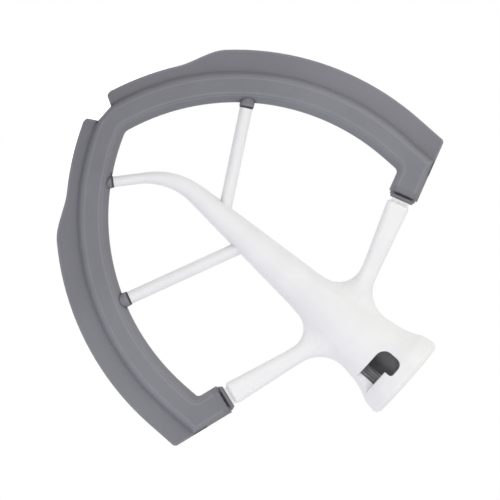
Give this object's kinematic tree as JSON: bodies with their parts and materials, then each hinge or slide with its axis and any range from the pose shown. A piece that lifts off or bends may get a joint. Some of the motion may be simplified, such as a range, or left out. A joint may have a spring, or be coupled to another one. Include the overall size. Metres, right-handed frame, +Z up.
{
  "type": "stand mixer flat beater",
  "caption": "Flat beater with a bayonet hub, drooping arms, a bent spine with struts, and a flexible scraping edge moulded round its rail.",
  "frame": {"origin": "on the drive axis, where the straight bore of the drive bush starts below its lead-in", "axes": "+Z up the drive axis out of the hub's mouth, +X across the wings, the bayonet window facing -Y"},
  "size_m": [0.163, 0.0366, 0.1656],
  "materials": {
    "white_frame": "smooth moulded white, satin",
    "grey_elastomer": "fine matte moulded grey",
    "dark_metal": "dark as-cast, lightly bright in the bore"
  },
  "bodies": {
    "root": {"beater_frame": "white_frame", "flex_edge": "grey_elastomer", "drive_bush": "dark_metal"}
  },
  "joints": []
}
